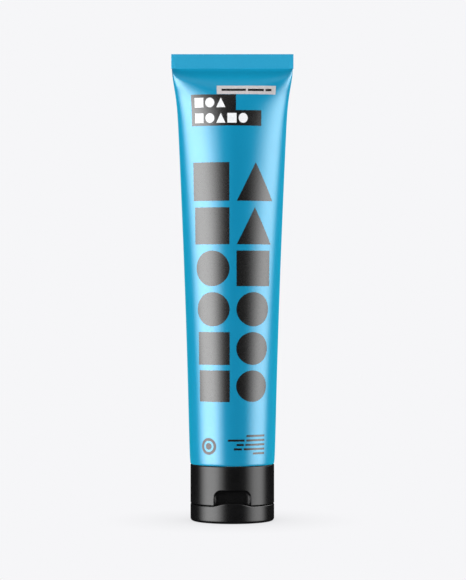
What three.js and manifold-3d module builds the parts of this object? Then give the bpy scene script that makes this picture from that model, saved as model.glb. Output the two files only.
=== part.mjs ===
// A plastic squeeze tube of shaving cream, standing on its flip-top cap.
// Millimetres, +Z up. The origin is the centre of the lid's flat outer face, which the
// tube stands on. The finger recess and the printed side face -Y, and the sleeve's flat
// crimp is at the top, wide along X. The cap is a push-on moulding: a body, a lid and,
// at the back, the strap and two springs that the lid swings on.
import * as THREE from 'three';
import { mergeVertices } from 'three/addons/utils/BufferGeometryUtils.js';
import Module from 'manifold-3d';

const wasm = await Module();
wasm.setup();

// Sleeve: a round foot that widens and flattens into the crimp
const TOTAL_HEIGHT = 210.2;
const SLEEVE_RADIUS = 19.0;
const SLEEVE_WALL = 0.5;
const FOOT_Z = 25.6;
const FOOT_ROUNDING = 0.32;
const CRIMP_HEIGHT = 6.5;
const CRIMP_HALF_WIDTH = 27.6;
const CRIMP_BOTTOM_Z = TOTAL_HEIGHT - CRIMP_HEIGHT;
const CRIMP_CORNER_POWER = 40;
const SLEEVE_LENGTH = CRIMP_BOTTOM_Z - FOOT_Z;
// How the half width grows: a little just above the foot, then on to the crimp, with a flare under it
const FOOT_SPREAD = 0.38;
const FOOT_SPREAD_REACH = 8;
const SPREAD = 6.3;
const SPREAD_POWER = 1.4;
const FLARE = 1.65;
const FLARE_REACH = 12;
// How the half depth shrinks over the upper part, and then closes at the crimp
const THINNING = 6.7;
const THINNING_REACH = 145;
const THINNING_POWER = 1.3;
const CLOSING_REACH = 9.9;
// Roundness of a section: 2 is an ellipse, less is a lens, more is a flat-sided slot
const LENS = 0.21;
const LENS_REACH = 95;
const LENS_FALL = 4;
const SLOT = 6;
const SLOT_REACH = 6.6;
const SLOT_FALL = 1.66;

// Cap: one outline for the body and the lid, parted at the seam
const CAP_RADIUS = 18.87;
const CAP_WALL = 1.3;
const CAP_INSIDE = CAP_RADIUS - CAP_WALL;
const CAP_TOP_Z = 25.3;
const RIM_CHAMFER = 0.3;
const SEAM_Z = 7.8;
const SEAM_GAP = 0.3;
const BODY_BOTTOM_Z = SEAM_Z + SEAM_GAP / 2;
const LID_TOP_Z = SEAM_Z - SEAM_GAP / 2;
const EDGE_ROUNDING = 1.3;
const DECK_TOP_Z = 9.4;
const LID_PLATE = 1.2;

// Nozzle and the lid's pin and ring that close it
const ORIFICE_RADIUS = 2.0;
const NOZZLE_TIP_Z = 4.6;
const NOZZLE_TIP_RADIUS = 3.6;
const NOZZLE_ROOT_RADIUS = 4.4;
const PIN_RADIUS = 1.65;
const PIN_TOP_Z = 7.5;
const PIN_CHAMFER = 0.5;
const RING_INSIDE = 4.9;
const RING_OUTSIDE = 5.7;
const RING_TOP_Z = 5.0;
const SPIGOT_RADIUS = 16.8;
const SPIGOT_WALL = 1.2;
const SPIGOT_BOTTOM_Z = 6.75;
const SPIGOT_SETBACK = 1.0;

// Finger recess in the front of the cap body, and the lip of the lid that rises into it
const RECESS_HALF_WIDTH = 8.16;
const RECESS_TOP_Z = 14.85;
const RECESS_CORNER = 2.5;
const RECESS_BACK_Y = -15.4;
const RECESS_WALL = 1.2;
const LIP_HALF_WIDTH = 8.2;
const LIP_HEIGHT = 1.65;

// Neck of the tube head and the skirt of the cap that snaps over it
const NECK_BORE = 5.0;
const NECK_RADIUS = 7.4;
const NECK_TIP_Z = 10.0;
const NECK_ROOT_Z = 20.9;
const BEAD_RADIUS = 8.1;
const BEAD_BOTTOM_Z = 11.6;
const BEAD_TOP_Z = 13.0;
const SNAP_CHAMFER = 0.4;
const SKIRT_INSIDE = 8.4;
const SKIRT_OUTSIDE = 9.8;
const SKIRT_TOP_Z = 20.6;
const SNAP_LIP_RADIUS = 7.75;
const SNAP_LIP_BOTTOM_Z = 13.5;
const SNAP_LIP_TOP_Z = 15.2;
const PLUG_INSIDE = 3.8;
const PLUG_OUTSIDE = 4.6;
const PLUG_TOP_Z = 11.4;
const LUG_WIDTH = 2.0;
const LUG_BOTTOM_Z = 18.4;
const LUG_REACH = 9.2;
const LUG_CLEARANCE = 0.4;

// Shoulder of the tube head: a cone up from the neck to a rim inside the sleeve's foot
const SHOULDER_SLOPE = 0.485;
const SHOULDER_WALL = 1.5;
const SHOULDER_RIM_RADIUS = 18.2;
const SHOULDER_RIM_INSIDE = 17.4;
const SHOULDER_RIM_TOP_Z = 29.0;
// Barrier disc that lies on the shoulder, and the gaps between fitted pieces
const BARRIER_INSIDE = 7.4;
const BARRIER_OUTSIDE = 16.5;
const BARRIER_THICKNESS = 0.5;
const FIT_GAP = 0.3;
const CONE_GAP = 0.35;

// Hinge at the back: the cap's round is cut flat there, over a thicker wall, so that the
// open lid can lie against the body
const HINGE_FLAT_Y = 17.7;
const HINGE_FLAT_TOP_Z = 16.1;
const HINGE_PAD_INNER_Y = 16.4;
const HINGE_PAD_HALF_WIDTH = 6.4;
const HINGE_PAD_TOP_Z = 17.3;
const HINGE_PAD_OVERLAP = 0.2;
const STRAP_THICKNESS = 0.3;
const STRAP_HALF_WIDTH = 1.5;
const STRAP_HALF_HEIGHT = 2.4;
const SPRING_INNER_X = 2.1;
const SPRING_OUTER_X = 4.6;
const SPRING_HALF_HEIGHT = 2.4;
const SPRING_HALF_WAIST = 0.5;

// Cream: fills the sleeve up to a headspace under the crimp
const CREAM_TOP_Z = 190;

const ROUND_SEGMENTS = 48;
const SECTION_POINTS = 48;

const bluePaint = new THREE.MeshStandardMaterial({ color: 0x1c9ccb, roughness: 0.4, metalness: 0.6 });
const blackPlastic = new THREE.MeshStandardMaterial({ color: 0x17181a, roughness: 0.45, metalness: 0 });
const whitePlastic = new THREE.MeshStandardMaterial({ color: 0xe9e9e6, roughness: 0.5, metalness: 0 });
const silverFoil = new THREE.MeshStandardMaterial({ color: 0xc4c6c8, roughness: 0.3, metalness: 0.9 });
const whiteCream = new THREE.MeshStandardMaterial({ color: 0xf6f7f5, roughness: 0.6, metalness: 0 });

// ---- Sections of the sleeve, by height ----

function sleeveSection(z) {
  const below = CRIMP_BOTTOM_Z - z;
  const footSpread = FOOT_SPREAD * (1 - Math.exp(-Math.max(0, z - FOOT_Z) / FOOT_SPREAD_REACH));
  const spread = SPREAD * Math.pow(1 - below / SLEEVE_LENGTH, SPREAD_POWER);
  const flare = FLARE * Math.exp(-Math.pow(below / FLARE_REACH, 2));
  const thinning = Math.pow(Math.max(0, 1 - below / THINNING_REACH), THINNING_POWER);
  const fullDepth = SLEEVE_RADIUS - THINNING * thinning;
  const open = 1 - Math.exp(-below / CLOSING_REACH);
  const lens = LENS * Math.exp(-Math.pow(below / LENS_REACH, LENS_FALL));
  const slot = SLOT * Math.exp(-Math.pow(below / SLOT_REACH, SLOT_FALL));
  return {
    halfWidth: SLEEVE_RADIUS + footSpread + spread + flare,
    halfDepth: SLEEVE_WALL + (fullDepth - SLEEVE_WALL) * open,
    power: 2 - lens + slot,
  };
}

// A ring of points round a section, shrunk by inset
function ring(section, z, inset = 0) {
  const points = [];
  for (let i = 0; i < SECTION_POINTS; i += 1) {
    const angle = (2 * Math.PI * i) / SECTION_POINTS;
    const across = Math.cos(angle);
    const open = Math.max(0, 1 - Math.pow(Math.abs(across), section.power));
    const depth = Math.pow(open, 1 / section.power);
    const x = (section.halfWidth - inset) * across;
    const y = (section.halfDepth - inset) * depth * Math.sign(Math.round(Math.sin(angle) * 1e6));
    points.push(new THREE.Vector3(x, y, z));
  }
  return points;
}

function roundRing(radius, z) {
  return ring({ halfWidth: radius, halfDepth: radius, power: 2 }, z);
}

// A closed body skinned over rings in order, with a flat fan over the first and the last
function loft(rings) {
  const positions = [];
  const indices = [];
  rings.flat().forEach((point) => positions.push(point.x, point.y, point.z));
  for (let row = 0; row < rings.length - 1; row += 1) {
    for (let i = 0; i < SECTION_POINTS; i += 1) {
      const next = (i + 1) % SECTION_POINTS;
      const a = row * SECTION_POINTS + i;
      const b = row * SECTION_POINTS + next;
      indices.push(a, b, b + SECTION_POINTS, a, b + SECTION_POINTS, a + SECTION_POINTS);
    }
  }
  [[0, true], [rings.length - 1, false]].forEach(([row, flip]) => {
    const centre = positions.length / 3;
    positions.push(0, 0, rings[row][0].z);
    for (let i = 0; i < SECTION_POINTS; i += 1) {
      const a = row * SECTION_POINTS + i;
      const b = row * SECTION_POINTS + ((i + 1) % SECTION_POINTS);
      indices.push(centre, flip ? b : a, flip ? a : b);
    }
  });
  const geometry = new THREE.BufferGeometry();
  geometry.setAttribute('position', new THREE.Float32BufferAttribute(positions, 3));
  geometry.setIndex(indices);
  return geometry;
}

// ---- Solids and booleans ----

function toSolid(geometry) {
  const bare = geometry.clone();
  bare.deleteAttribute('normal');
  bare.deleteAttribute('uv');
  const welded = mergeVertices(bare, 1e-4);
  return new wasm.Manifold(new wasm.Mesh({
    numProp: 3,
    vertProperties: new Float32Array(welded.attributes.position.array),
    triVerts: new Uint32Array(welded.index.array),
  }));
}

function toGeometry(solid) {
  const mesh = solid.getMesh();
  const geometry = new THREE.BufferGeometry();
  geometry.setAttribute('position', new THREE.BufferAttribute(mesh.vertProperties, 3));
  geometry.setIndex(new THREE.BufferAttribute(mesh.triVerts, 1));
  geometry.computeVertexNormals();
  return geometry;
}

// A body of revolution about Z. The outline runs anticlockwise in (radius, z).
function turned(outline) {
  const points = outline.map(([radius, z]) => new THREE.Vector2(radius, z));
  const geometry = new THREE.LatheGeometry([...points, points[0]], ROUND_SEGMENTS);
  geometry.rotateX(Math.PI / 2);
  return toSolid(geometry);
}

function box(from, to) {
  const size = to.map((value, i) => value - from[i]);
  const geometry = new THREE.BoxGeometry(...size);
  geometry.translate(...from.map((value, i) => value + size[i] / 2));
  return toSolid(geometry);
}

// An outline in (x, z), extruded from one y to another
function frontExtrusion(shape, fromY, toY) {
  const geometry = new THREE.ExtrudeGeometry(shape, {
    depth: toY - fromY,
    bevelEnabled: false,
    curveSegments: 6,
  });
  geometry.rotateX(Math.PI / 2);
  geometry.translate(0, toY, 0);
  return geometry;
}

// An arc of points in (radius, z)
function arc(centreR, centreZ, radius, fromAngle, toAngle, steps) {
  const points = [];
  for (let i = 0; i <= steps; i += 1) {
    const angle = fromAngle + ((toAngle - fromAngle) * i) / steps;
    points.push([centreR + radius * Math.cos(angle), centreZ + radius * Math.sin(angle)]);
  }
  return points;
}

// ---- Tube ----

// The wall: in along the cavity from its closed top to the open foot, then up the outside
function tubeSleeve() {
  const stations = [
    26.8, 40, 55, 70, 85, 100, 115, 130, 143, 155, 166, 175, 181, 186, 190, 194, 197.5, 200.5,
  ];
  const closing = [202.2, 203.3];
  const inner = [...stations, closing[0]].reverse();
  const crimp = { halfWidth: CRIMP_HALF_WIDTH, halfDepth: SLEEVE_WALL, power: CRIMP_CORNER_POWER };
  return loft([
    ...inner.map((z) => ring(sleeveSection(z), z, SLEEVE_WALL)),
    roundRing(SLEEVE_RADIUS - SLEEVE_WALL, FOOT_Z),
    roundRing(SLEEVE_RADIUS - FOOT_ROUNDING, FOOT_Z),
    roundRing(SLEEVE_RADIUS - FOOT_ROUNDING / 3, FOOT_Z + FOOT_ROUNDING),
    ...[...stations, ...closing].map((z) => ring(sleeveSection(z), z)),
    ring(crimp, CRIMP_BOTTOM_Z),
    ring(crimp, TOTAL_HEIGHT),
  ]);
}

// Height of the shoulder's outer face at a radius
function shoulderZ(radius) {
  return NECK_ROOT_Z + SHOULDER_SLOPE * (radius - NECK_RADIUS);
}

function tubeHead() {
  const neckAndShoulder = turned([
    [NECK_BORE, NECK_TIP_Z],
    [NECK_RADIUS, NECK_TIP_Z],
    [NECK_RADIUS, BEAD_BOTTOM_Z],
    [BEAD_RADIUS, BEAD_BOTTOM_Z + SNAP_CHAMFER],
    [BEAD_RADIUS, BEAD_TOP_Z - SNAP_CHAMFER],
    [NECK_RADIUS, BEAD_TOP_Z],
    [NECK_RADIUS, NECK_ROOT_Z],
    [SHOULDER_RIM_RADIUS, shoulderZ(SHOULDER_RIM_RADIUS)],
    [SHOULDER_RIM_RADIUS, SHOULDER_RIM_TOP_Z],
    [SHOULDER_RIM_INSIDE, SHOULDER_RIM_TOP_Z],
    [SHOULDER_RIM_INSIDE, shoulderZ(SHOULDER_RIM_INSIDE) + SHOULDER_WALL],
    [NECK_BORE, shoulderZ(NECK_BORE) + SHOULDER_WALL],
  ]);
  // Two lugs on the neck's root stop the cap from turning
  const lugTopZ = NECK_ROOT_Z + SHOULDER_WALL / 2;
  const lugs = box([-LUG_REACH, -LUG_WIDTH / 2, LUG_BOTTOM_Z], [LUG_REACH, LUG_WIDTH / 2, lugTopZ]);
  const insideNeck = (NECK_BORE + NECK_RADIUS) / 2;
  const core = turned([[0, NECK_TIP_Z], [insideNeck, NECK_TIP_Z], [insideNeck, FOOT_Z], [0, FOOT_Z]]);
  return toGeometry(neckAndShoulder.add(lugs.subtract(core)));
}

// A thin dished disc with a hole over the neck
function barrierInsert() {
  const under = SHOULDER_WALL + CONE_GAP;
  const over = under + BARRIER_THICKNESS;
  return toGeometry(turned([
    [BARRIER_INSIDE, shoulderZ(BARRIER_INSIDE) + under],
    [BARRIER_OUTSIDE, shoulderZ(BARRIER_OUTSIDE) + under],
    [BARRIER_OUTSIDE, shoulderZ(BARRIER_OUTSIDE) + over],
    [BARRIER_INSIDE, shoulderZ(BARRIER_INSIDE) + over],
  ]));
}

function creamFill() {
  const stations = [45, 65, 85, 105, 125, 143, 158, 170, 178, 184, CREAM_TOP_Z];
  const inset = SLEEVE_WALL + FIT_GAP;
  const neckRadius = NECK_BORE - FIT_GAP;
  const rimRadius = SHOULDER_RIM_INSIDE - FIT_GAP;
  const over = SHOULDER_WALL + BARRIER_THICKNESS + 2 * CONE_GAP;
  return loft([
    roundRing(neckRadius, PLUG_TOP_Z + 2 * FIT_GAP),
    roundRing(neckRadius, shoulderZ(neckRadius) + over),
    roundRing(rimRadius, shoulderZ(rimRadius) + over),
    roundRing(rimRadius, SHOULDER_RIM_TOP_Z + FIT_GAP),
    roundRing(SLEEVE_RADIUS - inset, SHOULDER_RIM_TOP_Z + 3 * FIT_GAP),
    ...stations.map((z) => ring(sleeveSection(z), z, inset)),
  ]);
}

// ---- Cap ----

// The recess's outline, grown by a margin, open through the seam
function recessShape(margin, bottomZ) {
  const half = RECESS_HALF_WIDTH + margin;
  const top = RECESS_TOP_Z + margin;
  const corner = RECESS_CORNER + margin;
  const shape = new THREE.Shape();
  shape.moveTo(-half, bottomZ);
  shape.lineTo(half, bottomZ);
  shape.lineTo(half, top - corner);
  shape.absarc(half - corner, top - corner, corner, 0, Math.PI / 2, false);
  shape.lineTo(-half + corner, top);
  shape.absarc(-half + corner, top - corner, corner, Math.PI / 2, Math.PI, false);
  return shape;
}

// The pad that thickens the wall behind the hinge, and the cut that flattens the outside
function hingePad(fromZ, toZ) {
  return box([-HINGE_PAD_HALF_WIDTH, HINGE_PAD_INNER_Y, fromZ], [HINGE_PAD_HALF_WIDTH, HINGE_FLAT_Y, toZ]);
}

function hingeFlat() {
  const beyond = CAP_RADIUS + 2;
  return box([-beyond, HINGE_FLAT_Y, -1], [beyond, beyond, HINGE_FLAT_TOP_Z]);
}

function capBody() {
  const shell = turned([
    [ORIFICE_RADIUS, NOZZLE_TIP_Z],
    [NOZZLE_TIP_RADIUS, NOZZLE_TIP_Z],
    [NOZZLE_ROOT_RADIUS, BODY_BOTTOM_Z],
    [SPIGOT_RADIUS - SPIGOT_WALL, BODY_BOTTOM_Z],
    [SPIGOT_RADIUS - SPIGOT_WALL, SPIGOT_BOTTOM_Z],
    [SPIGOT_RADIUS, SPIGOT_BOTTOM_Z],
    [SPIGOT_RADIUS, BODY_BOTTOM_Z],
    [CAP_RADIUS, BODY_BOTTOM_Z],
    [CAP_RADIUS, CAP_TOP_Z - RIM_CHAMFER],
    [CAP_RADIUS - RIM_CHAMFER, CAP_TOP_Z],
    [CAP_INSIDE, CAP_TOP_Z],
    [CAP_INSIDE, DECK_TOP_Z],
    [SKIRT_OUTSIDE, DECK_TOP_Z],
    [SKIRT_OUTSIDE, SKIRT_TOP_Z],
    [SKIRT_INSIDE, SKIRT_TOP_Z],
    [SKIRT_INSIDE, SNAP_LIP_TOP_Z],
    [SNAP_LIP_RADIUS, SNAP_LIP_TOP_Z - 2 * SNAP_CHAMFER],
    [SNAP_LIP_RADIUS, SNAP_LIP_BOTTOM_Z + SNAP_CHAMFER],
    [SKIRT_INSIDE, SNAP_LIP_BOTTOM_Z],
    [SKIRT_INSIDE, DECK_TOP_Z],
    [PLUG_OUTSIDE, DECK_TOP_Z],
    [PLUG_OUTSIDE, PLUG_TOP_Z],
    [PLUG_INSIDE, PLUG_TOP_Z],
    [PLUG_INSIDE, DECK_TOP_Z],
    [ORIFICE_RADIUS, BODY_BOTTOM_Z],
  ]);
  const recessBlock = toSolid(frontExtrusion(
    recessShape(RECESS_WALL, BODY_BOTTOM_Z), -CAP_RADIUS, RECESS_BACK_Y + RECESS_WALL));
  const midWall = CAP_RADIUS - CAP_WALL / 2;
  const withinWall = turned([[0, 0], [midWall, 0], [midWall, CAP_TOP_Z], [0, CAP_TOP_Z]]);
  const recess = toSolid(frontExtrusion(recessShape(0, NOZZLE_TIP_Z), -CAP_RADIUS - 1, RECESS_BACK_Y));
  const notchReach = SKIRT_OUTSIDE + LUG_CLEARANCE;
  const notchHalfWidth = LUG_WIDTH / 2 + LUG_CLEARANCE;
  const notches = box(
    [-notchReach, -notchHalfWidth, LUG_BOTTOM_Z - LUG_CLEARANCE],
    [notchReach, notchHalfWidth, SKIRT_TOP_Z + 1]);
  // The spigot stops short of the lid's hinge pad
  const spigotBack = box(
    [-HINGE_PAD_HALF_WIDTH - 1, HINGE_PAD_INNER_Y - SPIGOT_SETBACK, 0],
    [HINGE_PAD_HALF_WIDTH + 1, SPIGOT_RADIUS + 1, BODY_BOTTOM_Z]);
  return toGeometry(shell
    .add(recessBlock.intersect(withinWall))
    .subtract(recess)
    .add(hingePad(BODY_BOTTOM_Z, HINGE_PAD_TOP_Z))
    .subtract(hingeFlat())
    .subtract(spigotBack)
    .subtract(notches));
}

// The lip: a soft wave of the lid's front rim
function lipShape() {
  const steps = 20;
  const shape = new THREE.Shape();
  shape.moveTo(-LIP_HALF_WIDTH, LID_TOP_Z - 1);
  shape.lineTo(LIP_HALF_WIDTH, LID_TOP_Z - 1);
  for (let i = 0; i <= steps; i += 1) {
    const x = LIP_HALF_WIDTH * (1 - (2 * i) / steps);
    const wave = Math.pow(Math.cos((Math.PI * x) / (2 * LIP_HALF_WIDTH)), 2);
    shape.lineTo(x, LID_TOP_Z + LIP_HEIGHT * wave);
  }
  return shape;
}

function capLid() {
  const cup = turned([
    [0, 0],
    ...arc(CAP_RADIUS - EDGE_ROUNDING, EDGE_ROUNDING, EDGE_ROUNDING, -Math.PI / 2, 0, 5),
    [CAP_RADIUS, LID_TOP_Z],
    [CAP_INSIDE, LID_TOP_Z],
    [CAP_INSIDE, LID_PLATE],
    [RING_OUTSIDE, LID_PLATE],
    [RING_OUTSIDE, RING_TOP_Z],
    [RING_INSIDE, RING_TOP_Z],
    [RING_INSIDE, LID_PLATE],
    [PIN_RADIUS, LID_PLATE],
    [PIN_RADIUS, PIN_TOP_Z - PIN_CHAMFER],
    [PIN_RADIUS - PIN_CHAMFER, PIN_TOP_Z],
    [0, PIN_TOP_Z],
  ]);
  const wall = turned([
    [CAP_INSIDE, LID_TOP_Z - 1],
    [CAP_RADIUS, LID_TOP_Z - 1],
    [CAP_RADIUS, LID_TOP_Z + LIP_HEIGHT + 1],
    [CAP_INSIDE, LID_TOP_Z + LIP_HEIGHT + 1],
  ]);
  const lip = toSolid(frontExtrusion(lipShape(), -CAP_RADIUS - 1, RECESS_BACK_Y)).intersect(wall);
  return toGeometry(cup
    .add(lip)
    .add(hingePad(LID_PLATE - HINGE_PAD_OVERLAP, LID_TOP_Z))
    .subtract(hingeFlat()));
}

// ---- Hinge ----

function hingeStrap() {
  const nearY = HINGE_FLAT_Y + FIT_GAP;
  return toGeometry(box(
    [-STRAP_HALF_WIDTH, nearY, SEAM_Z - STRAP_HALF_HEIGHT],
    [STRAP_HALF_WIDTH, nearY + STRAP_THICKNESS, SEAM_Z + STRAP_HALF_HEIGHT]));
}

// A waisted spring beside the strap: wide at the body and the lid, narrow at the seam
function hingeSpring(side) {
  const waist = (SPRING_INNER_X + SPRING_OUTER_X) / 2;
  const corners = [
    [SPRING_INNER_X, -SPRING_HALF_HEIGHT],
    [SPRING_OUTER_X, -SPRING_HALF_HEIGHT],
    [waist + SPRING_HALF_WAIST, 0],
    [SPRING_OUTER_X, SPRING_HALF_HEIGHT],
    [SPRING_INNER_X, SPRING_HALF_HEIGHT],
    [waist - SPRING_HALF_WAIST, 0],
  ];
  const placed = corners.map(([x, z]) => new THREE.Vector2(side * x, SEAM_Z + z));
  const outline = side > 0 ? placed : placed.reverse();
  const nearY = HINGE_FLAT_Y + FIT_GAP;
  return frontExtrusion(new THREE.Shape(outline), nearY, nearY + STRAP_THICKNESS);
}

// ---- Assembly ----

const tube = new THREE.Group();

function addPiece(name, geometry, material) {
  const mesh = new THREE.Mesh(geometry, material);
  mesh.name = name;
  tube.add(mesh);
}

addPiece('tube_sleeve', tubeSleeve(), bluePaint);
addPiece('tube_head', tubeHead(), whitePlastic);
addPiece('barrier_insert', barrierInsert(), silverFoil);
addPiece('cream_fill', creamFill(), whiteCream);
addPiece('cap_body', capBody(), blackPlastic);
addPiece('cap_lid', capLid(), blackPlastic);
addPiece('hinge_strap', hingeStrap(), blackPlastic);
addPiece('hinge_spring_left', hingeSpring(-1), blackPlastic);
addPiece('hinge_spring_right', hingeSpring(1), blackPlastic);

export default tube;
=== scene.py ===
"""Looks, lights and camera for a squeeze tube of shaving cream that stands on its flip-top cap.

Shapes are worked out in millimetres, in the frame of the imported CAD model: +Z up, the front
with the finger recess and the print towards -Y, the origin under the middle of the lid.
"""
import math

import bpy
import numpy as np
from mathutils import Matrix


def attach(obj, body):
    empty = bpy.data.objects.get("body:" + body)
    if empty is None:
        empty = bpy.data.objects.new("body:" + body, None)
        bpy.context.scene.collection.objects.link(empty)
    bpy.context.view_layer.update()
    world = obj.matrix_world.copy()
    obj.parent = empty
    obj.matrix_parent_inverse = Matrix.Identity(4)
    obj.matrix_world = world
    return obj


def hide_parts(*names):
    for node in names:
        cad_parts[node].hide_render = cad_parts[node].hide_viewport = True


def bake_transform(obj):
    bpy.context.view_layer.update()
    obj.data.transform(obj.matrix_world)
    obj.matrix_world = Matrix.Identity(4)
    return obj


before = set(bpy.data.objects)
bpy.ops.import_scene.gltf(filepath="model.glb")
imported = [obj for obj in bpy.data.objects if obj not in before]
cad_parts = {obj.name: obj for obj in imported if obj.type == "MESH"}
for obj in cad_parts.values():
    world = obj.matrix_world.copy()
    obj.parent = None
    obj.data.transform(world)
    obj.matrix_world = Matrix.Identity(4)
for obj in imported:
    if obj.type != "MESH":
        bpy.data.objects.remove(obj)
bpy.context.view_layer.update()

MM = 0.001

# Sleeve
TOTAL_HEIGHT = 210.2
SLEEVE_RADIUS = 19.0
SLEEVE_WALL = 0.5
FOOT_Z = 25.6
FOOT_ROUNDING = 0.35
FOOT_ROUNDING_HEIGHT = 1.5
CRIMP_BOTTOM_Z = 203.7
CRIMP_HALF_WIDTH = 27.6
CRIMP_CORNER_POWER = 40
CRIMP_EDGE_ROUNDING = 0.08
CRIMP_SPLIT_DEPTH = 0.12
CRIMP_SPLIT_TOP_HALF_GAP, CRIMP_SPLIT_FOOT_HALF_GAP = 0.06, 0.01
SLEEVE_LENGTH = CRIMP_BOTTOM_Z - FOOT_Z
CAVITY_TOP_Z = 202.2
SLEEVE_COLUMNS = 320
# How far an ellipse-like section grows, thins, closes and changes its roundness with height
FOOT_SPREAD, FOOT_SPREAD_REACH = 0.38, 8.0
SPREAD, SPREAD_POWER = 6.3, 1.4
FLARE, FLARE_REACH = 1.65, 12.0
THINNING, THINNING_REACH, THINNING_POWER = 6.7, 145.0, 1.3
CLOSING_REACH = 9.9
LENS, LENS_REACH, LENS_FALL = 0.21, 95.0, 4
SLOT, SLOT_REACH, SLOT_FALL = 6.0, 6.6, 1.66

# Cap
CAP_RADIUS = 18.87
CAP_WALL = 1.3
CAP_INSIDE = CAP_RADIUS - CAP_WALL
CAP_TOP_Z = 25.3
SEAM_Z = 7.8
BODY_BOTTOM_Z = 7.95
LID_TOP_Z = 7.65
DECK_TOP_Z = 9.4
LID_PLATE = 1.2
LID_EDGE_ROUNDING = 1.3
RECESS_HALF_WIDTH = 8.3
RECESS_TOP_Z = 14.95
RECESS_CORNER = 3.4
RECESS_BACK_Y = -15.4
RECESS_SIDE_REACH = 2.3
RECESS_TOP_REACH = 2.0
# The recess's edge: a steep step over this share of the reach, down to this share of the depth,
# then a soft run to the back
RECESS_STEP_SHARE = 0.35
RECESS_STEP_DEPTH = 0.89
# The lid's raised lip is full height out to the first half width and fades to nothing at the second
LIP_FULL_HALF_WIDTH, LIP_HALF_WIDTH = 2.4, 9.7
LIP_HEIGHT = 1.35
LIP_STARTS_Z = 4.5
# The flat at the back that the open lid folds against
FLAT_Y = 17.7
FLAT_TOP_Z = 16.1
# The recess and the flat move points in from nothing at the first radius to fully at the second
SHIFT_STARTS_RADIUS, SHIFT_FULL_RADIUS = 10.0, 15.0
# Inside the cap, as radii and heights: the nozzle and its inlet, the spigot that centres the lid,
# the skirt with the bead that grips the neck, and the lid's pin and collar
NOZZLE_BORE, NOZZLE_TIP, NOZZLE_ROOT = 2.0, 3.6, 4.4
NOZZLE_BOTTOM_Z = 4.6
INLET_INSIDE, INLET_OUTSIDE, INLET_TOP_Z = 3.8, 4.6, 11.4
SPIGOT_INSIDE, SPIGOT_OUTSIDE, SPIGOT_BOTTOM_Z = 15.6, 16.8, 6.75
SKIRT_INSIDE, SKIRT_OUTSIDE, SKIRT_TOP_Z = 8.4, 9.8, 20.6
BEAD_INSIDE = 7.75
BEAD_STARTS_Z, BEAD_FULL_FROM_Z, BEAD_FULL_TO_Z, BEAD_ENDS_Z = 13.5, 13.9, 14.4, 15.2
PIN_RADIUS, PIN_TOP_Z = 1.65, 7.5
COLLAR_INSIDE, COLLAR_OUTSIDE, COLLAR_TOP_Z = 4.9, 5.7, 5.0
# The lid's outline starts and ends at this radius, and triangles to the axis close it
LID_FAN_RADIUS = 0.5

# Hinge: thin leaves across the seam, at their thinnest there
HINGE_Y = 18.15
LEAF_HALF_HEIGHT = 2.4
LEAF_THIN_HALF = 0.15
LEAF_THICKENING = 0.32
LEAF_THIN_UP_TO, LEAF_THICK_FROM = 1.2, 1.8
LEAF_BEVEL = 0.07
STRAP_HALF_WIDTH = 1.5
SPRING_MIDDLE_X = 3.35
SPRING_WAIST_HALF, SPRING_WIDENING = 0.5, 0.75

# Print on the sleeve's front: a film's underside and top above the sleeve, and what lies on a film
INK_BOTTOM, INK_TOP = 0.015, 0.04
SECOND_LAYER_LIFT = 0.065


# ---- Meshes from points ----

def grid_faces(rows, columns, closed=False):
    """Quads over a grid of points given row by row; a closed grid joins its last column to its first."""
    faces = []
    for row in range(rows - 1):
        for column in range(columns if closed else columns - 1):
            right = (column + 1) % columns
            low, high = row * columns, (row + 1) * columns
            faces.append((low + column, low + right, high + right, high + column))
    return faces


def make_piece(name, points, faces, material, sharp_degrees=40):
    """A smooth-shaded mesh piece from points in millimetres; edges sharper than the angle stay crisp."""
    mesh = bpy.data.meshes.new(name)
    mesh.from_pydata([tuple(float(c) * MM for c in p) for p in points], [], faces)
    mesh.validate()
    mesh.materials.append(material)
    mesh.shade_smooth()
    mesh.set_sharp_from_angle(angle=math.radians(sharp_degrees))
    piece = bpy.data.objects.new(name, mesh)
    bpy.context.scene.collection.objects.link(piece)
    return piece


def smooth_step(value, low, high):
    t = np.clip((value - low) / (high - low), 0.0, 1.0)
    return t * t * (3 - 2 * t)


# ---- Sleeve ----

def section(z):
    """Half width, half depth and roundness power of the sleeve's section at heights z."""
    below = CRIMP_BOTTOM_Z - np.asarray(z, float)
    height = np.clip(SLEEVE_LENGTH - below, 0, None)
    foot_spread = FOOT_SPREAD * (1 - np.exp(-height / FOOT_SPREAD_REACH))
    spread = SPREAD * np.power(height / SLEEVE_LENGTH, SPREAD_POWER)
    flare = FLARE * np.exp(-np.square(below / FLARE_REACH))
    thinning = np.power(np.clip(1 - below / THINNING_REACH, 0, None), THINNING_POWER)
    full_depth = SLEEVE_RADIUS - THINNING * thinning
    opened = 1 - np.exp(-below / CLOSING_REACH)
    lens = LENS * np.exp(-np.power(below / LENS_REACH, LENS_FALL))
    slot = SLOT * np.exp(-np.power(below / SLOT_REACH, SLOT_FALL))
    half_depth = SLEEVE_WALL + (full_depth - SLEEVE_WALL) * opened
    return SLEEVE_RADIUS + foot_spread + spread + flare, half_depth, 2 - lens + slot


def ring(half_width, half_depth, power, z):
    """Points round a section, from +X through the back to -X and along the front."""
    angles = np.arange(SLEEVE_COLUMNS) * 2 * math.pi / SLEEVE_COLUMNS
    across = np.cos(angles)
    depth = np.power(np.clip(1 - np.abs(across) ** power, 0, None), 1 / power)
    side = np.sign(np.round(np.sin(angles), 9))
    return np.column_stack([half_width * across, half_depth * depth * side, np.full(SLEEVE_COLUMNS, z)])


def sleeve_ring(z, inset=0.0):
    half_width, half_depth, power = section(z)
    return ring(half_width - inset, half_depth - inset, power, z)


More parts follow.
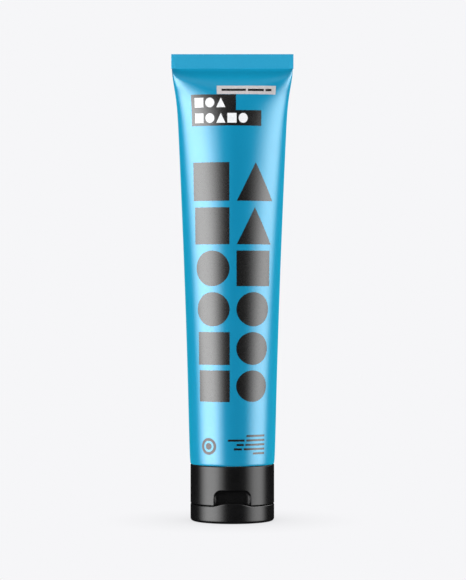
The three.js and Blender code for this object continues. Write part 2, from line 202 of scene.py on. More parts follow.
def strip_cap(first, columns):
    """Quads across a flat end of a ring, each joining a front point to the back point at the same x."""
    half = columns // 2
    last = first + columns
    faces = [(first + i, first + i + 1, last - i - 1, last - i) for i in range(1, half - 1)]
    faces.append((first, first + 1, last - 1))
    faces.append((first + half - 1, first + half, first + half + 1))
    return faces


def build_sleeve(material):
    outside = np.concatenate([
        np.arange(FOOT_Z + FOOT_ROUNDING_HEIGHT + 0.4, 180, 1.5),
        np.arange(180, 199, 0.6),
        np.arange(199, CRIMP_BOTTOM_Z - 0.1, 0.2),
    ])
    inside = np.arange(CAVITY_TOP_Z, FOOT_Z + 1, -4.0)
    rings = [sleeve_ring(z, SLEEVE_WALL) for z in inside]
    inner_foot = SLEEVE_RADIUS - SLEEVE_WALL
    rings.append(ring(inner_foot, inner_foot, 2, FOOT_Z + 0.1))
    for turn in np.linspace(-math.pi / 2, 0, 9):
        radius = SLEEVE_RADIUS - FOOT_ROUNDING * (1 - math.cos(turn))
        rings.append(ring(radius, radius, 2, FOOT_Z + FOOT_ROUNDING_HEIGHT * (1 + math.sin(turn))))
    rings += [sleeve_ring(z) for z in outside]
    rounding = CRIMP_EDGE_ROUNDING
    for inset, z in ((0, CRIMP_BOTTOM_Z), (0, TOTAL_HEIGHT - rounding), (rounding, TOTAL_HEIGHT)):
        rings.append(ring(CRIMP_HALF_WIDTH - inset, SLEEVE_WALL - inset, CRIMP_CORNER_POWER, z))
    # The two walls of the crimp part in a fine line along its top edge
    split_half_width = CRIMP_HALF_WIDTH - 2 * rounding
    split_foot_z = TOTAL_HEIGHT - CRIMP_SPLIT_DEPTH
    rings.append(ring(split_half_width, CRIMP_SPLIT_TOP_HALF_GAP, CRIMP_CORNER_POWER, TOTAL_HEIGHT))
    rings.append(ring(split_half_width, CRIMP_SPLIT_FOOT_HALF_GAP, CRIMP_CORNER_POWER, split_foot_z))
    faces = grid_faces(len(rings), SLEEVE_COLUMNS, closed=True)
    faces += [face[::-1] for face in strip_cap(0, SLEEVE_COLUMNS)]
    faces += strip_cap((len(rings) - 1) * SLEEVE_COLUMNS, SLEEVE_COLUMNS)
    piece = make_piece("sleeve", np.vstack(rings), faces, material)
    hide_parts("tube_sleeve")
    return piece


# ---- Print: thin films of ink wrapped round the sleeve's front ----

def wrapped(along, z, lift):
    """Points on the sleeve, from their distance round it from the front's middle line and their height."""
    along, z = np.asarray(along, float), np.asarray(z, float)
    half_width, half_depth, power = (values[:, None] for values in section(z))
    share = np.sin(np.linspace(0, math.radians(88), 300))[None, :]
    x = half_width * share
    y = half_depth * np.power(1 - share ** power, 1 / power)
    steps = np.hypot(np.diff(x, axis=1), np.diff(y, axis=1))
    reach = np.concatenate([np.zeros((len(z), 1)), np.cumsum(steps, axis=1)], axis=1)
    across = np.array([np.interp(abs(s), r, row) for s, r, row in zip(along, reach, x)]) * np.sign(along)
    return lifted(across, z, lift)


def surface_measure(x, y, z):
    """0 on the sleeve's surface, more outside it."""
    half_width, half_depth, power = section(z)
    return np.abs(x / half_width) ** power + np.abs(y / half_depth) ** power - 1


def lifted(x, z, lift):
    """Points on the front at x and z, moved off the surface along its normal."""
    half_width, half_depth, power = section(z)
    y = -half_depth * np.power(1 - np.abs(x / half_width) ** power, 1 / power)
    step = 0.01
    slope = np.column_stack([
        surface_measure(x + step, y, z) - surface_measure(x - step, y, z),
        surface_measure(x, y + step, z) - surface_measure(x, y - step, z),
        surface_measure(x, y, z + step) - surface_measure(x, y, z - step),
    ])
    slope /= np.linalg.norm(slope, axis=1)[:, None]
    return np.column_stack([x, y, z]) + lift * slope


class Film:
    """Collects flat shapes in (distance round the sleeve, height) and builds them as one wrapped film."""

    def __init__(self, lift=0.0):
        self.lift = lift
        self.points = []
        self.faces = []
        self.count = 0

    def add_grid(self, along, z, rows, columns):
        """A patch given by a grid of points, closed into a thin solid."""
        total = rows * columns
        top = wrapped(along, z, self.lift + INK_TOP)
        under = wrapped(along, z, self.lift + INK_BOTTOM)
        self.points += [top, under]
        start = self.count
        for face in grid_faces(rows, columns):
            self.faces.append(tuple(start + i for i in face))
            self.faces.append(tuple(start + total + i for i in face[::-1]))
        rim = list(range(columns))
        rim += [row * columns + columns - 1 for row in range(1, rows)]
        rim += [(rows - 1) * columns + column for column in range(columns - 2, -1, -1)]
        rim += [row * columns for row in range(rows - 2, 0, -1)]
        for here, there in zip(rim, rim[1:] + rim[:1]):
            self.faces.append((start + there, start + here, start + total + here, start + total + there))
        self.count += 2 * total

    def quad(self, corners, cell=0.7):
        """A four-cornered patch; the corners run from lower left through lower right to upper left."""
        (x0, z0), (x1, z1), (x2, z2), (x3, z3) = corners
        columns = 2 + int(max(abs(x1 - x0), abs(x2 - x3)) / cell)
        rows = 2 + int(max(abs(z3 - z0), abs(z2 - z1)) / cell)
        u, v = np.meshgrid(np.linspace(0, 1, columns), np.linspace(0, 1, rows))
        u, v = u.ravel(), v.ravel()
        along = (1 - v) * ((1 - u) * x0 + u * x1) + v * ((1 - u) * x3 + u * x2)
        z = (1 - v) * ((1 - u) * z0 + u * z1) + v * ((1 - u) * z3 + u * z2)
        self.add_grid(along, z, rows, columns)

    def bar(self, left, right, bottom, top):
        self.quad([(left, bottom), (right, bottom), (right, top), (left, top)])

    def triangle(self, left, right, bottom, top):
        middle = (left + right) / 2
        tip = 0.02
        self.quad([(left, bottom), (right, bottom), (middle + tip, top), (middle - tip, top)])

    def disc(self, centre, middle_z, half_width, half_height, steps=26):
        """An ellipse as a square grid with its rings bent round."""
        u, v = np.meshgrid(np.linspace(-1, 1, steps), np.linspace(-1, 1, steps))
        u, v = u.ravel(), v.ravel()
        along = centre + half_width * u * np.sqrt(1 - v * v / 2)
        z = middle_z + half_height * v * np.sqrt(1 - u * u / 2)
        self.add_grid(along, z, steps, steps)

    def ring(self, centre, middle_z, inner, outer, start=0.0, end=360.0):
        """Part of a ring, drawn in two halves so that a full one closes."""
        for first, last in ((start, (start + end) / 2), ((start + end) / 2, end)):
            turns = np.radians(np.linspace(first, last, 30))
            radii = np.linspace(outer, inner, 4)
            turn, radius = np.meshgrid(turns, radii)
            along = centre + (radius * np.cos(turn)).ravel()
            z = middle_z + (radius * np.sin(turn)).ravel()
            self.add_grid(along[::-1], z[::-1], 4, 30)

    def build(self, name, material):
        piece = make_piece(name, np.vstack(self.points), self.faces, material)
        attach(piece, "tube")
        return piece


# Rows of shapes: each row is this much smaller than the one above it
ROW_RATIO = 0.959
FIRST_ROW_TOP_Z = 160.7
FIRST_ROW_HEIGHT = 17.2
FIRST_ROW_PITCH = 20.1
# Columns, as shares of the sleeve's half width at the row
LEFT_COLUMN = (-0.797, -0.057)
RIGHT_COLUMN = (0.086, 0.832)
LEFT_SHAPES = ("square", "square", "disc", "disc", "square", "square")
RIGHT_SHAPES = ("triangle", "triangle", "square", "disc", "disc", "disc")
# Stepped label above the shapes: one wide bar with a narrower one on it
LABEL_LEFT = -18.9
LABEL_BOTTOM_Z, LABEL_STEP_Z, LABEL_TOP_Z = 177.1, 184.1, 191.3
LABEL_NARROW_RIGHT, LABEL_WIDE_RIGHT = 1.6, 13.2
STRIP = (-7.0, 19.6, 191.4, 195.3)
SMALL_LINES_RIGHT = 15.9
SMALL_LINES_TOP_Z = 39.5
SMALL_LINES_PITCH = 1.95
SMALL_LINES_HEIGHT = 0.9
SMALL_LINES = ((9.5,), (7.5, 9.6), (3.2, 10.0), (3.6, 10.8), (6.4,))
BADGE_CENTRE = (-11.1, 34.35)
BADGE_RING = (2.5, 3.75)
BADGE_DOT = 1.5


def add_shape(film, kind, left, right, bottom, top):
    if kind == "square":
        film.bar(left, right, bottom, top)
    elif kind == "triangle":
        film.triangle(left, right, bottom, top)
    else:
        film.disc((left + right) / 2, (bottom + top) / 2, (right - left) / 2, (top - bottom) / 2)


def shape_rows(film):
    top, height, pitch = FIRST_ROW_TOP_Z, FIRST_ROW_HEIGHT, FIRST_ROW_PITCH
    for left_kind, right_kind in zip(LEFT_SHAPES, RIGHT_SHAPES):
        half_width = float(section(top - height / 2)[0])
        for kind, (start, end) in ((left_kind, LEFT_COLUMN), (right_kind, RIGHT_COLUMN)):
            add_shape(film, kind, start * half_width, end * half_width, top - height, top)
        top -= pitch
        height *= ROW_RATIO
        pitch *= ROW_RATIO


def small_lines(film):
    """Right-aligned rows of plain dashes in place of small print."""
    gap = 0.8
    for row, lengths in enumerate(SMALL_LINES):
        top = SMALL_LINES_TOP_Z - row * SMALL_LINES_PITCH
        right = SMALL_LINES_RIGHT
        for length in reversed(lengths):
            film.bar(right - length, right, top - SMALL_LINES_HEIGHT, top)
            right -= length + gap


def label_marks(film):
    """Plain white figures in a row on each bar of the label, in place of lettering."""
    height, pitch, width = 4.4, 5.0, 4.1
    kinds = ("square", "disc", "triangle")
    rows = ((LABEL_STEP_Z + 1.3, 3), (LABEL_BOTTOM_Z + 1.25, 5))
    for bottom, count in rows:
        for i in range(count):
            left = LABEL_LEFT + 1.7 + i * pitch
            add_shape(film, kinds[i % len(kinds)], left, left + width, bottom, bottom + height)


def build_print(ink, white, pale, brown):
    dark = Film()
    shape_rows(dark)
    dark.bar(LABEL_LEFT, LABEL_NARROW_RIGHT, LABEL_STEP_Z, LABEL_TOP_Z)
    dark.bar(LABEL_LEFT, LABEL_WIDE_RIGHT, LABEL_BOTTOM_Z, LABEL_STEP_Z)
    small_lines(dark)
    dark.build("print_black", ink)

    strip = Film()
    strip.bar(*STRIP)
    strip.build("print_strip", pale)

    left, right, bottom, top = STRIP
    strip_lines = Film(SECOND_LAYER_LIFT)
    middle = (bottom + top) / 2
    for start, end in ((left + 2.2, left + 13.0), (left + 14.0, right - 5.5), (right - 4.7, right - 2.0)):
        strip_lines.bar(start, end, middle - 0.5, middle + 0.5)
    strip_lines.build("print_strip_lines", ink)

    marks = Film(SECOND_LAYER_LIFT)
    label_marks(marks)
    marks.build("print_white", white)

    badge = Film()
    badge.ring(*BADGE_CENTRE, *BADGE_RING)
    badge.disc(*BADGE_CENTRE, BADGE_DOT, BADGE_DOT)
    badge.build("print_badge", brown)


# ---- Cap ----

def cap_angles(fine):
    """Angles round the cap from the front, close together in the (from, to, step) ranges on both sides."""
    angles = set(np.arange(0, 180.01, 2.5).round(3))
    for start, end, step in fine:
        angles = {a for a in angles if a < start or a > end}
        angles |= set(np.arange(start, end + step / 2, step).round(3))
    right = sorted(angles)
    left = [-a for a in reversed(right) if 0 < a < 180]
    return np.radians(np.array(right + left))


def rounded_outline(corners, steps=4):
    """A closed outline of (radius, z) points with each corner rounded by its own radius."""
    outline = []
    count = len(corners)
    for i, (r, z, rounding) in enumerate(corners):
        here = np.array([r, z])
        if rounding == 0:
            outline.append(here)
            continue
        before = np.array(corners[i - 1][:2]) - here
        after = np.array(corners[(i + 1) % count][:2]) - here
        before /= np.linalg.norm(before)
        after /= np.linalg.norm(after)
        for t in np.linspace(0, 1, steps + 1):
            start, end = here + rounding * before, here + rounding * after
            outline.append((1 - t) ** 2 * start + 2 * t * (1 - t) * here + t ** 2 * end)
    return outline


def recess_share(x, z):
    """How far in, from 0 on the cap's round to 1 on the recess's flat back."""
    side = np.abs(x) - (RECESS_HALF_WIDTH - RECESS_CORNER)
    up = z - (RECESS_TOP_Z - RECESS_CORNER)
    outer = np.hypot(np.clip(side, 0, None), np.clip(up, 0, None))
    inner = np.minimum(np.maximum(side, up), 0)
    inside = RECESS_CORNER - outer - inner
    sideways = np.clip(side, 0, None) / np.maximum(outer, 1e-6)
    sideways = np.where(outer > 1e-6, sideways ** 2, np.where(side > up, 1.0, 0.0))
    reach = RECESS_TOP_REACH + (RECESS_SIDE_REACH - RECESS_TOP_REACH) * sideways
    t = np.clip(inside / reach, 0, 1)
    run = np.clip((t - RECESS_STEP_SHARE) / (1 - RECESS_STEP_SHARE), 0, 1)
    step = np.clip(t / RECESS_STEP_SHARE, 0, 1)
    return RECESS_STEP_DEPTH * step + (1 - RECESS_STEP_DEPTH) * run * (2 - run)


def cap_shift(angles, z, recess):
    """How far a point of the cap's round at each angle and height moves in, along y."""
    x = CAP_RADIUS * np.sin(angles)
    y = -CAP_RADIUS * np.cos(angles)
    shift = np.zeros_like(x)
    if recess:
        front = y < RECESS_BACK_Y
        shift[front] = ((RECESS_BACK_Y - y) * recess_share(x, z))[front]
    below_ledge = 1 - smooth_step(z, FLAT_TOP_Z - 0.3, FLAT_TOP_Z)
    back = y > FLAT_Y
    shift[back] = ((FLAT_Y - y) * below_ledge)[back]
    return shift


def turned_cap(outline, angles, recess=False, lip=False):
    """Turns an outline round Z. Its outer points follow the recess, the hinge flat and the lip."""
    rows = []
    for r, z in outline:
        weight = min(max((r - SHIFT_STARTS_RADIUS) / (SHIFT_FULL_RADIUS - SHIFT_STARTS_RADIUS), 0), 1)
        x = r * np.sin(angles)
        y = -r * np.cos(angles) + weight * cap_shift(angles, np.full_like(angles, z), recess)
        height = np.full_like(angles, z)
        if lip and r > CAP_INSIDE - 0.5:
            away = smooth_step(np.abs(x), LIP_FULL_HALF_WIDTH, LIP_HALF_WIDTH)
            wave = np.where(np.cos(angles) > 0, 1 - away, 0)
            height = height + LIP_HEIGHT * wave * smooth_step(z, LIP_STARTS_Z, LID_TOP_Z - 0.3)
        rows.append(np.column_stack([x, y, height]))
    return rows


def build_cap_body(material):
    wall_rows = np.concatenate([
        np.arange(8.5, 12.0, 0.7),
        np.arange(12.0, 15.2, 0.12),
        np.arange(15.2, FLAT_TOP_Z + 0.3, 0.15),
        np.arange(17.0, 24.5, 1.5),
    ])
    corners = [
        (NOZZLE_BORE, NOZZLE_BOTTOM_Z, 0.2), (NOZZLE_TIP, NOZZLE_BOTTOM_Z, 0.35),
        (NOZZLE_ROOT, BODY_BOTTOM_Z, 0.3), (SHIFT_STARTS_RADIUS, BODY_BOTTOM_Z, 0),
        (SPIGOT_INSIDE, BODY_BOTTOM_Z, 0.2), (SPIGOT_INSIDE, SPIGOT_BOTTOM_Z, 0.25),
        (SPIGOT_OUTSIDE, SPIGOT_BOTTOM_Z, 0.25), (SPIGOT_OUTSIDE, BODY_BOTTOM_Z, 0.2),
        (CAP_RADIUS, BODY_BOTTOM_Z, 0.38),
    ]
    corners += [(CAP_RADIUS, z, 0) for z in wall_rows]
    corners += [(CAP_RADIUS, CAP_TOP_Z, 0.3), (CAP_INSIDE, CAP_TOP_Z, 0.2)]
    corners += [(CAP_INSIDE, z, 0) for z in (20.0, 16.5, 15.5, 14.5, 12.0)]
    corners += [
        (CAP_INSIDE, DECK_TOP_Z, 0.3), (SKIRT_OUTSIDE, DECK_TOP_Z, 0.2),
        (SKIRT_OUTSIDE, SKIRT_TOP_Z, 0.2), (SKIRT_INSIDE, SKIRT_TOP_Z, 0.2),
        (SKIRT_INSIDE, BEAD_ENDS_Z, 0.1), (BEAD_INSIDE, BEAD_FULL_TO_Z, 0.1),
        (BEAD_INSIDE, BEAD_FULL_FROM_Z, 0.1), (SKIRT_INSIDE, BEAD_STARTS_Z, 0.1),
        (SKIRT_INSIDE, DECK_TOP_Z, 0.2), (INLET_OUTSIDE, DECK_TOP_Z, 0.2),
        (INLET_OUTSIDE, INLET_TOP_Z, 0.2), (INLET_INSIDE, INLET_TOP_Z, 0.2),
        (INLET_INSIDE, DECK_TOP_Z, 0.2), (NOZZLE_BORE, BODY_BOTTOM_Z, 0.2),
    ]
    outline = rounded_outline(corners)
    angles = cap_angles([(18.0, 29.0, 0.4), (157.5, 161.5, 0.5)])
    rows = turned_cap(outline, angles, recess=True)
    faces = grid_faces(len(rows), len(angles), closed=True)
    faces += closing_faces(len(rows), len(angles))
    piece = make_piece("cap_shell", np.vstack(rows), faces, material, sharp_degrees=50)
    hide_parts("cap_body")
    return piece


def closing_faces(rows, columns):
    """Joins the last row of a turned outline to its first."""
    last = (rows - 1) * columns
    return [(last + i, last + (i + 1) % columns, (i + 1) % columns, i) for i in range(columns)]


def build_cap_lid(material):
    edge = LID_EDGE_ROUNDING
    corners = [(r, 0, 0) for r in (LID_FAN_RADIUS, 6.0, 12.0, 15.0, 16.5)]
    for turn in np.linspace(-math.pi / 2, 0, 9):
        corners.append((CAP_RADIUS - edge + edge * math.cos(turn), edge + edge * math.sin(turn), 0))
    corners += [(CAP_RADIUS, z, 0) for z in (2.5, 3.5, 4.5, 5.0, 5.5, 6.0, 6.5, 6.9, 7.2)]
    corners += [(CAP_RADIUS, LID_TOP_Z, 0.5), (CAP_INSIDE, LID_TOP_Z, 0.2)]
    corners += [(CAP_INSIDE, z, 0) for z in (6.5, 5.5, 4.5)]
    corners += [
        (CAP_INSIDE, LID_PLATE, 0.4), (SHIFT_FULL_RADIUS, LID_PLATE, 0), (SHIFT_STARTS_RADIUS, LID_PLATE, 0),
        (COLLAR_OUTSIDE, LID_PLATE, 0.25), (COLLAR_OUTSIDE, COLLAR_TOP_Z, 0.2),
        (COLLAR_INSIDE, COLLAR_TOP_Z, 0.2), (COLLAR_INSIDE, LID_PLATE, 0.25),
        (PIN_RADIUS, LID_PLATE, 0.25), (PIN_RADIUS, PIN_TOP_Z, 0.55),
        (LID_FAN_RADIUS, PIN_TOP_Z, 0),
    ]
    outline = rounded_outline(corners)
    angles = cap_angles([(20.0, 27.0, 1.0), (157.5, 161.5, 0.5)])
    rows = turned_cap(outline, angles, lip=True)
    points = np.vstack(rows + [[[0, 0, 0], [0, 0, PIN_TOP_Z]]])
    columns = len(angles)
    faces = grid_faces(len(rows), columns, closed=True)
    under, tip = len(points) - 2, len(points) - 1
    last = (len(rows) - 1) * columns
    for i in range(columns):
        beside = (i + 1) % columns
        faces.append((under, beside, i))
        faces.append((tip, last + i, last + beside))
    piece = make_piece("lid_shell", points, faces, material, sharp_degrees=50)
    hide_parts("cap_lid")
    return piece


# ---- Hinge ----

def hinge_leaf(name, node, edges, material):
    """A thin leaf across the seam; edges gives its two x limits at a share from the seam to its end."""
    rows = []
    for offset in np.linspace(-LEAF_HALF_HEIGHT, LEAF_HALF_HEIGHT, 33):
        near, far = edges(abs(offset) / LEAF_HALF_HEIGHT)
        thick = smooth_step(abs(offset), LEAF_THIN_UP_TO, LEAF_THICK_FROM)
        inner_y = HINGE_Y - LEAF_THIN_HALF - LEAF_THICKENING * thick
        outer_y = HINGE_Y + LEAF_THIN_HALF
        z = SEAM_Z + offset
        bevel = LEAF_BEVEL
        rows.append([
            (near, inner_y, z), (far, inner_y, z), (far, outer_y - bevel, z),
            (far - bevel, outer_y, z), (near + bevel, outer_y, z), (near, outer_y - bevel, z),
        ])
    columns = len(rows[0])
    faces = grid_faces(len(rows), columns, closed=True)
    faces.append(tuple(reversed(range(columns))))
    faces.append(tuple((len(rows) - 1) * columns + i for i in range(columns)))
    piece = make_piece(name, [p for row in rows for p in row], faces, material)
    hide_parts(node)
    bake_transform(piece)
    return piece


def build_hinge(material):
    hinge_leaf("strap", "hinge_strap", lambda share: (-STRAP_HALF_WIDTH, STRAP_HALF_WIDTH), material)
    for middle, word in ((-SPRING_MIDDLE_X, "left"), (SPRING_MIDDLE_X, "right")):
        def edges(share, middle=middle):
            half_width = SPRING_WAIST_HALF + SPRING_WIDENING * share
            return middle - half_width, middle + half_width
        hinge_leaf("spring_" + word, "hinge_spring_" + word, edges, material)


# ---- Materials ----

def linked(tree, value, socket):
    """Sets a socket to a number, or links another node's output to it."""
    if isinstance(value, bpy.types.NodeSocket):
        tree.links.new(value, socket)
    else:
        socket.default_value = value


def calculate(tree, operation, first, second=0.0):
    node = tree.nodes.new("ShaderNodeMath")
    node.operation = operation
    linked(tree, first, node.inputs[0])
    linked(tree, second, node.inputs[1])
    return node.outputs[0]


def remap(tree, value, low, high, to_low=0.0, to_high=1.0, smooth=True):
    node = tree.nodes.new("ShaderNodeMapRange")
    node.interpolation_type = "SMOOTHSTEP" if smooth else "LINEAR"
    linked(tree, value, node.inputs["Value"])
    node.inputs["From Min"].default_value = low
    node.inputs["From Max"].default_value = high
    node.inputs["To Min"].default_value = to_low
    node.inputs["To Max"].default_value = to_high
    return node.outputs["Result"]


def mixed(tree, factor, first, second):
    node = tree.nodes.new("ShaderNodeMix")
    node.data_type = "RGBA"
    linked(tree, factor, node.inputs["Factor"])
    linked(tree, first, node.inputs["A"])
    linked(tree, second, node.inputs["B"])
    return node.outputs["Result"]


def place(tree):
    """The point's place on the object, in metres."""
    return tree.nodes.new("ShaderNodeTexCoord").outputs["Object"]


def noise(tree, size_mm, detail=2.0):
    """Noise of a feature size in millimetres, 0 to 1."""
    node = tree.nodes.new("ShaderNodeTexNoise")
    tree.links.new(place(tree), node.inputs["Vector"])
    node.inputs["Scale"].default_value = 1000 / size_mm
    node.inputs["Detail"].default_value = detail
    return node.outputs["Fac"]


def varied(tree, size_mm, detail, low=0.0, high=1.0):
    """A value that wanders softly between low and high, with a feature size in millimetres."""
    return remap(tree, noise(tree, size_mm, detail), 0.3, 0.7, low, high)


def mottled(tree, size_mm, detail, dark, light):
    """Two near colours in a soft mottle of a feature size in millimetres."""
    return mixed(tree, varied(tree, size_mm, detail), (*dark, 1), (*light, 1))


def bumped(tree, height, depth_mm):
    node = tree.nodes.new("ShaderNodeBump")
    node.inputs["Strength"].default_value = 1.0
    node.inputs["Distance"].default_value = depth_mm * MM
    tree.links.new(height, node.inputs["Height"])
    return node.outputs["Normal"]


def new_material(name):
    material = bpy.data.materials.new(name)
    material.use_nodes = True
    return material, material.node_tree, material.node_tree.nodes["Principled BSDF"]


def set_gloss(shader, specular, coat=0.0, coat_roughness=0.2, metallic=0.0):
    shader.inputs["Specular IOR Level"].default_value = specular
    shader.inputs["Coat Weight"].default_value = coat
    shader.inputs["Coat Roughness"].default_value = coat_roughness
    shader.inputs["Metallic"].default_value = metallic


def sleeve_material():
    """Pearly blue film under a clear coat: fine grain, painted shade just below the crimp, paler on the
    crimp.
    """
    material, tree, shader = new_material("satin_blue_film")
    height = tree.nodes.new("ShaderNodeSeparateXYZ")
    tree.links.new(place(tree), height.inputs[0])
    crimp = remap(tree, height.outputs["Z"], (CRIMP_BOTTOM_Z - 0.15) * MM, (CRIMP_BOTTOM_Z + 0.05) * MM)
    grain = varied(tree, 0.35, 3.0)
    body = mixed(tree, grain, (0.0014, 0.186, 0.368, 1), (0.0016, 0.199, 0.386, 1))
    pressed = mixed(tree, grain, (0.0240, 0.300, 0.530, 1), (0.0268, 0.322, 0.556, 1))
    # Painted shade: the blue darkens more and more over the 6 mm just below the crimp, where the sleeve turns
    # up towards it
    painted_shade_under_crimp = remap(tree, height.outputs["Z"], (CRIMP_BOTTOM_Z - 6.0) * MM, (CRIMP_BOTTOM_Z - 0.5) * MM)
    body_with_painted_shade = mixed(tree, painted_shade_under_crimp, body, (0.0008, 0.070, 0.190, 1))
    linked(tree, mixed(tree, crimp, body_with_painted_shade, pressed), shader.inputs["Base Color"])
    uneven = varied(tree, 9.0, 2.0, -0.015, 0.015)
    finish = remap(tree, crimp, 0.0, 1.0, 0.47, 0.50)
    linked(tree, calculate(tree, "ADD", finish, uneven), shader.inputs["Roughness"])
    linked(tree, bumped(tree, noise(tree, 0.5, 2.0), 0.0005), shader.inputs["Normal"])
    set_gloss(shader, 1.0, coat=1.0, coat_roughness=0.17, metallic=0.2)
    shader.inputs["Specular Tint"].default_value = (0.14, 0.90, 1.0, 1)
    shader.inputs["Coat IOR"].default_value = 1.7
    shader.inputs["Sheen Weight"].default_value = 0.9
    shader.inputs["Sheen Roughness"].default_value = 0.6
    shader.inputs["Sheen Tint"].default_value = (0.0, 0.62, 0.86, 1)
    return material


def cap_material():
    """Black moulded plastic with a fine satin grain."""
    material, tree, shader = new_material("satin_black_plastic")
    colour = mottled(tree, 2.5, 3.0, (0.0032, 0.0032, 0.0034), (0.0046, 0.0046, 0.0048))
    linked(tree, colour, shader.inputs["Base Color"])
    linked(tree, varied(tree, 0.8, 3.0, 0.235, 0.265), shader.inputs["Roughness"])
    linked(tree, bumped(tree, noise(tree, 0.22, 2.0), 0.0006), shader.inputs["Normal"])
    set_gloss(shader, 0.48)
    return material


def film_material(name, dark, light, roughness, specular):
    """A printed film: two near colours in a fine mottle, with a slightly uneven gloss."""
    material, tree, shader = new_material(name)
    linked(tree, mottled(tree, 0.6, 3.0, dark, light), shader.inputs["Base Color"])
    uneven = varied(tree, 1.5, 2.0, roughness - 0.01, roughness + 0.01)
    linked(tree, uneven, shader.inputs["Roughness"])
    linked(tree, bumped(tree, noise(tree, 0.4, 2.0), 0.0003), shader.inputs["Normal"])
    set_gloss(shader, specular)
    return material


def head_material():
    """Translucent white moulded plastic of the tube's head."""
    material, tree, shader = new_material("head_plastic")
    colour = mottled(tree, 4.0, 2.0, (0.80, 0.80, 0.78), (0.86, 0.86, 0.84))
    linked(tree, colour, shader.inputs["Base Color"])
    linked(tree, varied(tree, 1.2, 2.0, 0.4, 0.5), shader.inputs["Roughness"])
    set_gloss(shader, 0.5)
    return material


def barrier_material():
    """Dull foil laminate of the barrier disc."""
    material, tree, shader = new_material("barrier_foil")
    colour = mottled(tree, 1.0, 3.0, (0.55, 0.56, 0.58), (0.66, 0.67, 0.69))
    linked(tree, colour, shader.inputs["Base Color"])
    linked(tree, bumped(tree, noise(tree, 0.9, 2.0), 0.01), shader.inputs["Normal"])
    shader.inputs["Roughness"].default_value = 0.35
    set_gloss(shader, 0.5, metallic=0.9)
    return material


def cream_material():
    """Soft white cream."""
    material, tree, shader = new_material("white_cream")
    colour = mottled(tree, 3.0, 3.0, (0.86, 0.87, 0.85), (0.92, 0.92, 0.90))
    linked(tree, colour, shader.inputs["Base Color"])
    linked(tree, bumped(tree, noise(tree, 2.0, 3.0), 0.2), shader.inputs["Normal"])
    shader.inputs["Roughness"].default_value = 0.55
    set_gloss(shader, 0.5)
    return material


# ---- Studio ----

BACKGROUND = (0.9216, 0.9216, 0.9387, 1)
AMBIENT = 0.012
# Each light as its strength, and where it starts, is full, stops being full and ends, in degrees
# from the front (azimuth) and above the horizon (height)
BOX_HEIGHTS = (-28, -10, 34, 49)
FILL_HEIGHTS = (15, 30, 50, 65)
LIGHTS = (
    (6.2, (-107, -68, -52, -15), BOX_HEIGHTS),
    (4.2, (31, 70, 80, 109), BOX_HEIGHTS),
    (3.3, (50, 85, 130, 175), FILL_HEIGHTS),
    (0.33, (-80, -40, 40, 80), (42, 58, 68, 82)),
    (0.4, (-190, -185, -170, -130), FILL_HEIGHTS),
    (0.6, (130, 170, 185, 190), FILL_HEIGHTS),
)


def window(tree, value, limits):
    """1 between the middle two limits, fading smoothly to 0 at the outer two; limits in degrees."""
    starts, full_from, full_to, ends = (math.radians(limit) for limit in limits)
    rise = remap(tree, value, starts, full_from)
    fall = remap(tree, value, full_to, ends, 1.0, 0.0)
    return calculate(tree, "MULTIPLY", rise, fall)


def build_world():
    """Tall softboxes left and right with dark between them, weak high lights, and a plain pale backdrop."""
    world = bpy.data.worlds.new("studio")
    bpy.context.scene.world = world
    world.use_nodes = True
    tree = world.node_tree
    tree.nodes.clear()
    direction = tree.nodes.new("ShaderNodeSeparateXYZ")
    tree.links.new(tree.nodes.new("ShaderNodeTexCoord").outputs["Generated"], direction.inputs[0])
    forward = calculate(tree, "MULTIPLY", direction.outputs["Y"], -1.0)
    azimuth = calculate(tree, "ARCTAN2", direction.outputs["X"], forward)
    elevation = calculate(tree, "ARCSINE", direction.outputs["Z"])
    total = AMBIENT
    for strength, azimuths, heights in LIGHTS:
        shape = calculate(tree, "MULTIPLY", window(tree, azimuth, azimuths), window(tree, elevation, heights))
        total = calculate(tree, "ADD", calculate(tree, "MULTIPLY", shape, strength), total)
    lights = tree.nodes.new("ShaderNodeBackground")
    lights.inputs["Color"].default_value = (1, 1, 1, 1)
    tree.links.new(total, lights.inputs["Strength"])
    backdrop = tree.nodes.new("ShaderNodeBackground")
    backdrop.inputs["Color"].default_value = BACKGROUND
    choose = tree.nodes.new("ShaderNodeMixShader")
    tree.links.new(tree.nodes.new("ShaderNodeLightPath").outputs["Is Camera Ray"], choose.inputs["Fac"])
    tree.links.new(lights.outputs[0], choose.inputs[1])
    tree.links.new(backdrop.outputs[0], choose.inputs[2])
    output = tree.nodes.new("ShaderNodeOutputWorld")
    tree.links.new(choose.outputs[0], output.inputs["Surface"])


FLOOR_HALF_SIZE = 20.0
CONTACT_REACH = 0.042
CONTACT_SHADE = 0.68


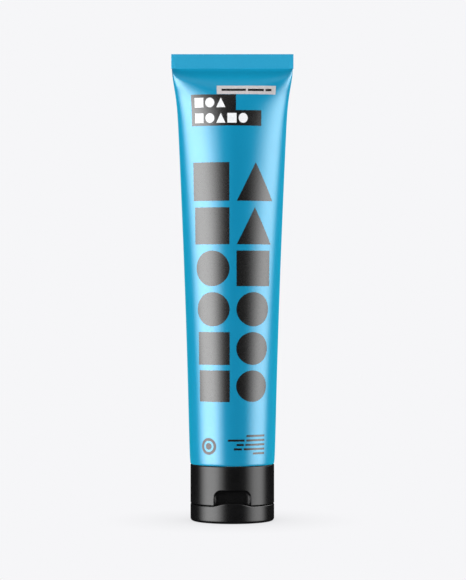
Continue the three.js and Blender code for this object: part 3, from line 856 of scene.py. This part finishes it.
def build_floor():
    """A pale floor of the backdrop's colour that darkens a little under the object."""
    size = FLOOR_HALF_SIZE / MM
    corners = [(-size, -size, -0.02), (size, -size, -0.02), (size, size, -0.02), (-size, size, -0.02)]
    material = bpy.data.materials.new("floor")
    material.use_nodes = True
    tree = material.node_tree
    tree.nodes.clear()
    near = tree.nodes.new("ShaderNodeAmbientOcclusion")
    near.samples = 8
    near.inputs["Distance"].default_value = CONTACT_REACH
    glow = tree.nodes.new("ShaderNodeEmission")
    shade = remap(tree, near.outputs["AO"], 0.0, 1.0, CONTACT_SHADE, 1.0, smooth=False)
    linked(tree, shade, glow.inputs["Strength"])
    glow.inputs["Color"].default_value = BACKGROUND
    output = tree.nodes.new("ShaderNodeOutputMaterial")
    tree.links.new(glow.outputs[0], output.inputs["Surface"])
    floor = make_piece("floor", corners, [(0, 1, 2, 3)], material)
    floor.visible_glossy = False


def build_camera():
    """A level camera a metre in front, at the middle of the tube's height."""
    data = bpy.data.cameras.new("camera")
    data.lens = 138.5
    data.sensor_width = 36
    camera = bpy.data.objects.new("camera", data)
    camera.location = (0.0003, -1.007, 0.1038)
    camera.rotation_euler = (math.pi / 2, 0, 0)
    bpy.context.scene.collection.objects.link(camera)
    bpy.context.scene.camera = camera


def dress_inside():
    """The pieces inside the tube keep their CAD shape and get their own materials."""
    for node, material in (
        ("tube_head", head_material()),
        ("barrier_insert", barrier_material()),
        ("cream_fill", cream_material()),
    ):
        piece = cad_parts[node]
        piece.material_slots[0].material = material


bpy.context.scene.view_settings.view_transform = "Standard"
build_camera()
build_world()
build_floor()
blue, black = sleeve_material(), cap_material()
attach(build_sleeve(blue), "tube")
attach(build_cap_body(black), "tube")
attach(build_cap_lid(black), "lid")
build_hinge(black)
build_print(
    film_material("black_ink", (0.004, 0.004, 0.004), (0.007, 0.007, 0.007), 0.27, 0.95),
    film_material("white_ink", (0.70, 0.71, 0.72), (0.78, 0.79, 0.80), 0.3, 0.8),
    film_material("pale_ink", (0.42, 0.40, 0.40), (0.50, 0.47, 0.47), 0.3, 0.5),
    film_material("badge_ink", (0.10, 0.085, 0.085), (0.13, 0.11, 0.11), 0.3, 0.4),
)
dress_inside()
